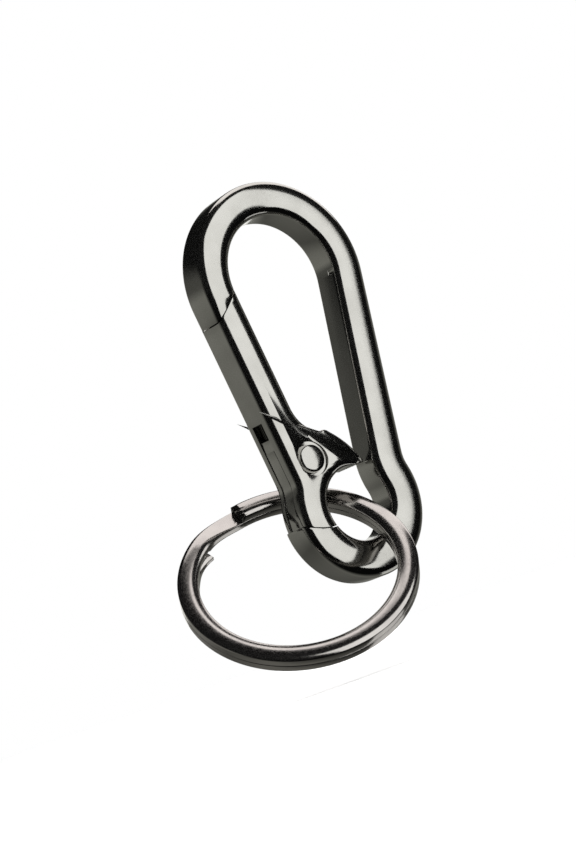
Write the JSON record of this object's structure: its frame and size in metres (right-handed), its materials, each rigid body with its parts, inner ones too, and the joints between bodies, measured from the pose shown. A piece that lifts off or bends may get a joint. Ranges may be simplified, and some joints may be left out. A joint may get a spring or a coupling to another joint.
{
  "type": "carabiner keyring",
  "caption": "Cast gourd-shaped carabiner with an inward-opening sprung gate, a beak that closes its lower eye, and a flat-wire split ring threaded through that eye.",
  "frame": {"origin": "centre of the hook's round arc, at mid-thickness", "axes": "+Z from the eye up to the hook, +X towards the spine, +Y from the front face to the back face"},
  "size_m": [0.0383, 0.0227, 0.0594],
  "materials": {
    "cast_body": "polished black nickel over zinc casting",
    "cast_gate": "polished black nickel over zinc casting",
    "rivet": "polished black nickel over steel",
    "spring_wire": "drawn spring wire",
    "plunger": "turned steel",
    "ring_wire": "polished black nickel over flat steel wire"
  },
  "bodies": {
    "frame": {"frame": "cast_body"},
    "gate": {"gate": "cast_gate", "pivot_rivet": "rivet", "gate_spring": "spring_wire"},
    "plunger": {"spring_plunger": "plunger"},
    "ring": {"split_ring": "ring_wire"}
  },
  "joints": [
    {"name": "gate_hinge", "type": "hinge", "parent": "frame", "child": "gate", "pos_m": [-0.0056, 0, -0.023], "axis": [0, 1, 0], "range_deg": [0, 13], "stiffness_Nm_per_rad": 0.08, "springref_deg": -20.05},
    {"name": "plunger_slide", "type": "slide", "parent": "gate", "child": "plunger", "axis": [-0.1279, 0, 0.9918], "range_m": [0, 0.0005], "deforming": ["gate_spring"]},
    {"name": "ring_swing", "type": "hinge", "parent": "frame", "child": "ring", "pos_m": [-0.0004, 0, -0.0298], "axis": [0, 1, 0], "range_deg": [-130, 10]}
  ],
  "couplings": [
    {"joint": "plunger_slide", "follows": "gate_hinge", "m_per_rad": 0.0015}
  ]
}
